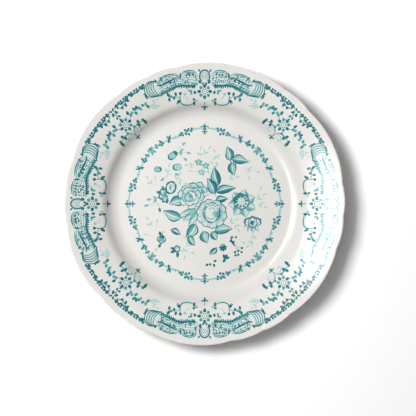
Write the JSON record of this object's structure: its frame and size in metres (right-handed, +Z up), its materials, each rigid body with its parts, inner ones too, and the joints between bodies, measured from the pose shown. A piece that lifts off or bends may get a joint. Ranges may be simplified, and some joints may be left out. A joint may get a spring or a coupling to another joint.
{
  "type": "china dinner plate",
  "caption": "Round china dinner plate with a flat well, a wide sloping rim, a scalloped edge, a foot ring and a printed flower pattern.",
  "frame": {"origin": "middle of the foot ring's underside, on the surface the plate stands on", "axes": "+Z up out of the well; +X and +Y are the printed pattern's axes, each through the middle of a scroll panel; the scalloped edge is turned 5.3 degrees clockwise from them"},
  "size_m": [0.2682, 0.2696, 0.0262],
  "materials": {
    "biscuit": "bare fired clay, matt",
    "glaze": "clear glaze over warm white clay, high gloss",
    "border_print": "teal transfer print, average tint of the scroll panels, glossy",
    "corner_print": "teal transfer print, average tint of the flower sprays, glossy",
    "wreath_print": "teal transfer print, average tint of the ring of leaves, glossy",
    "bouquet_print": "teal transfer print, average tint of the bouquet, glossy"
  },
  "bodies": {
    "root": {"plate_body": "biscuit", "face_glaze": "glaze", "recess_glaze": "glaze", "cartouche_transfer_1": "border_print", "cartouche_transfer_2": "border_print", "cartouche_transfer_3": "border_print", "cartouche_transfer_4": "border_print", "corner_transfer_1": "corner_print", "corner_transfer_2": "corner_print", "corner_transfer_3": "corner_print", "corner_transfer_4": "corner_print", "wreath_transfer": "wreath_print", "bouquet_transfer": "bouquet_print"}
  },
  "joints": []
}
